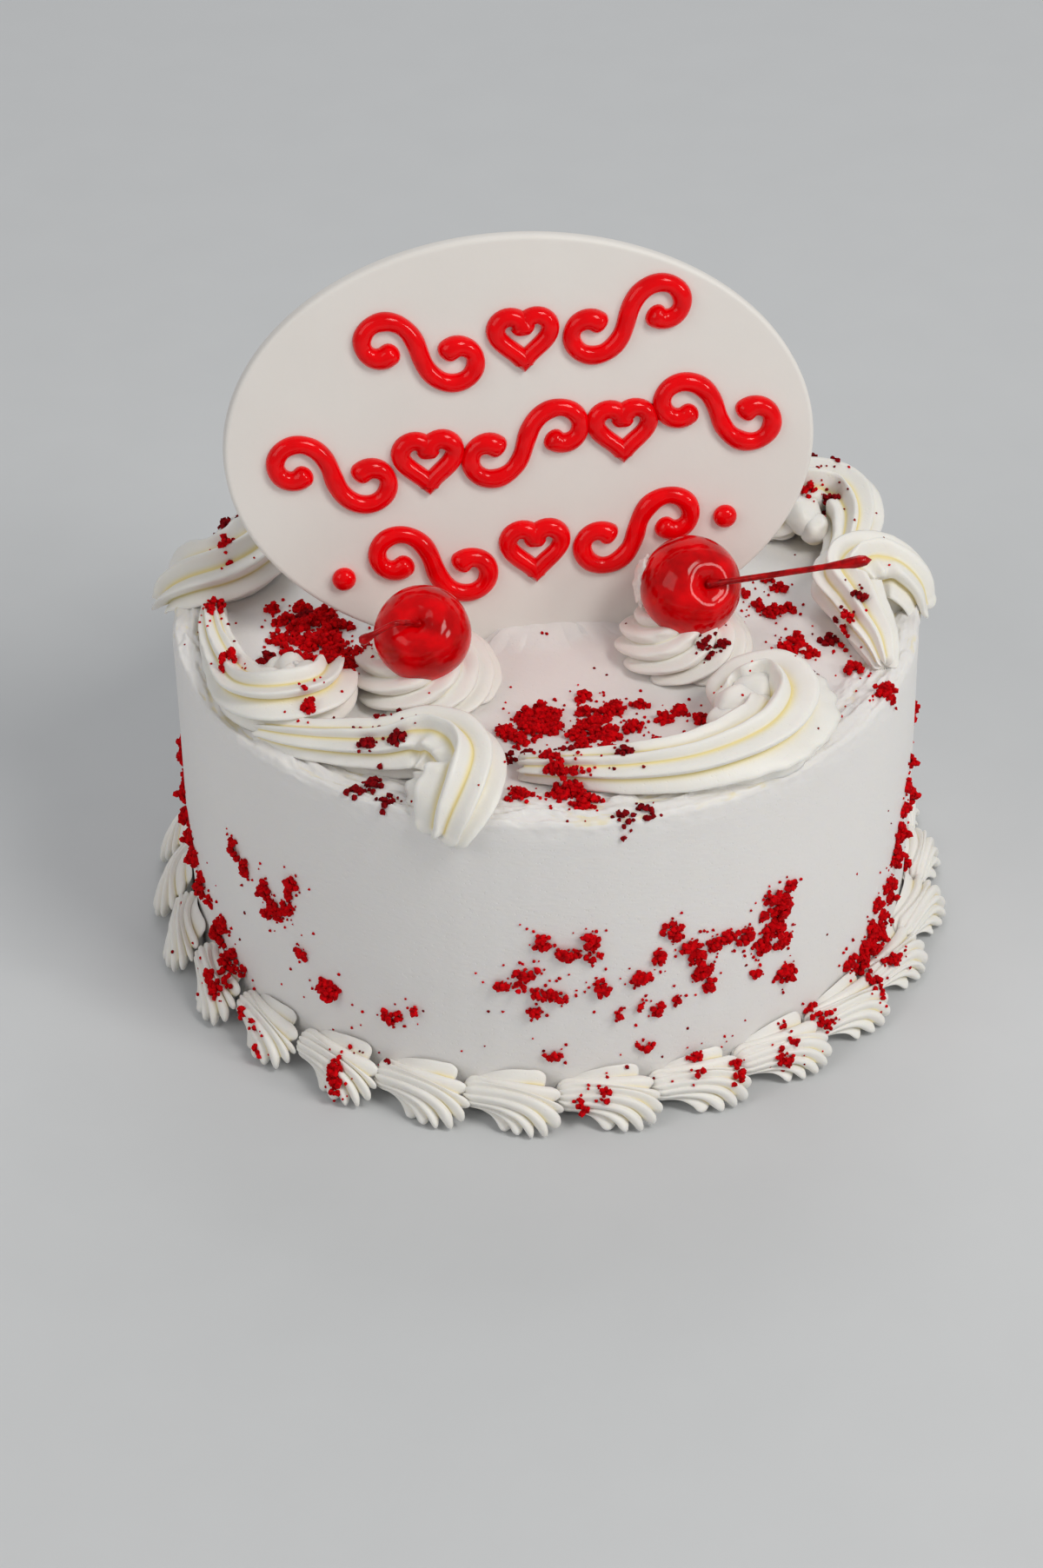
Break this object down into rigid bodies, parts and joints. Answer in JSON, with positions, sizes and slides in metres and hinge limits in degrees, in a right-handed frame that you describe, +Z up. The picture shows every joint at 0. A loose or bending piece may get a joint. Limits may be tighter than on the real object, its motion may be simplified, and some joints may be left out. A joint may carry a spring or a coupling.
{
  "type": "frosted celebration cake",
  "caption": "Round white-frosted cake with piped cream borders, cherries on cream swirls, scattered red crumbs and an upright oval plaque with red piped ornament.",
  "frame": {"origin": "middle of the cake's flat underside, where it stands on its plate or board", "axes": "+Z is up. The front, which the plaque faces, looks along -Y, and +X is to the viewer's right."},
  "size_m": [0.227, 0.2281, 0.2047],
  "materials": {
    "cake_cream": "smooth matte whipped cream, spread with a palette knife",
    "piped_cream": "satin piped cream, warmer in its grooves",
    "plaque_fondant": "smooth matte sugar paste with glossy red gel beads",
    "cherry_skin": "wet, glossy, deep red candied skin",
    "cherry_stem": "glossy dyed stem"
  },
  "bodies": {
    "root": {"cake": "cake_cream", "cherry_left": "cherry_skin", "cherry_right": "cherry_skin", "comma_1": "piped_cream", "comma_2": "piped_cream", "comma_3": "piped_cream", "comma_4": "piped_cream", "comma_5": "piped_cream", "comma_6": "piped_cream", "comma_7": "piped_cream", "comma_8": "piped_cream", "plaque": "plaque_fondant", "shell_1": "piped_cream", "shell_10": "piped_cream", "shell_11": "piped_cream", "shell_12": "piped_cream", "shell_13": "piped_cream", "shell_14": "piped_cream", "shell_15": "piped_cream", "shell_16": "piped_cream", "shell_17": "piped_cream", "shell_18": "piped_cream", "shell_19": "piped_cream", "shell_2": "piped_cream", "shell_20": "piped_cream", "shell_21": "piped_cream", "shell_22": "piped_cream", "shell_23": "piped_cream", "shell_24": "piped_cream", "shell_25": "piped_cream", "shell_26": "piped_cream", "shell_3": "piped_cream", "shell_4": "piped_cream", "shell_5": "piped_cream", "shell_6": "piped_cream", "shell_7": "piped_cream", "shell_8": "piped_cream", "shell_9": "piped_cream", "stem_left": "cherry_stem", "stem_right": "cherry_stem", "swirl_left": "piped_cream", "swirl_right": "piped_cream"}
  },
  "joints": []
}
